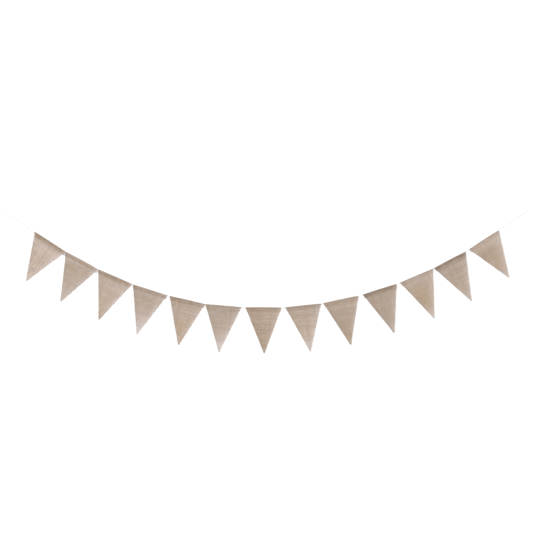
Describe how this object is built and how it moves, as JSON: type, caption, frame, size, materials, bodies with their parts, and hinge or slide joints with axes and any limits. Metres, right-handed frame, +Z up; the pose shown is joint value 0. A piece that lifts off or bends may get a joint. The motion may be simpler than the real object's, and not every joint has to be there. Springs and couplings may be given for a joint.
{
  "type": "fabric bunting",
  "caption": "Triangular hessian pennants, each folded over a white cotton string that hangs in a shallow curve and ends in a tied loop on each side.",
  "frame": {"origin": "the point where a hook holds the loop at the string's left end, as seen from the front", "axes": "+X along the bunting from its left end to its right end, +Z up, the front faces -Y"},
  "size_m": [2.1954, 0.0096, 0.6173],
  "materials": {
    "hessian": "coarse plain weave, matt",
    "cotton_string": "twisted cotton, matt"
  },
  "bodies": {
    "root": {"pennant_01": "hessian", "pennant_02": "hessian", "pennant_03": "hessian", "pennant_04": "hessian", "pennant_05": "hessian", "pennant_06": "hessian", "pennant_07": "hessian", "pennant_08": "hessian", "pennant_09": "hessian", "pennant_10": "hessian", "pennant_11": "hessian", "pennant_12": "hessian", "pennant_13": "hessian", "string": "cotton_string", "knot_left": "cotton_string", "knot_right": "cotton_string", "loop_left": "cotton_string", "loop_right": "cotton_string"}
  },
  "joints": []
}
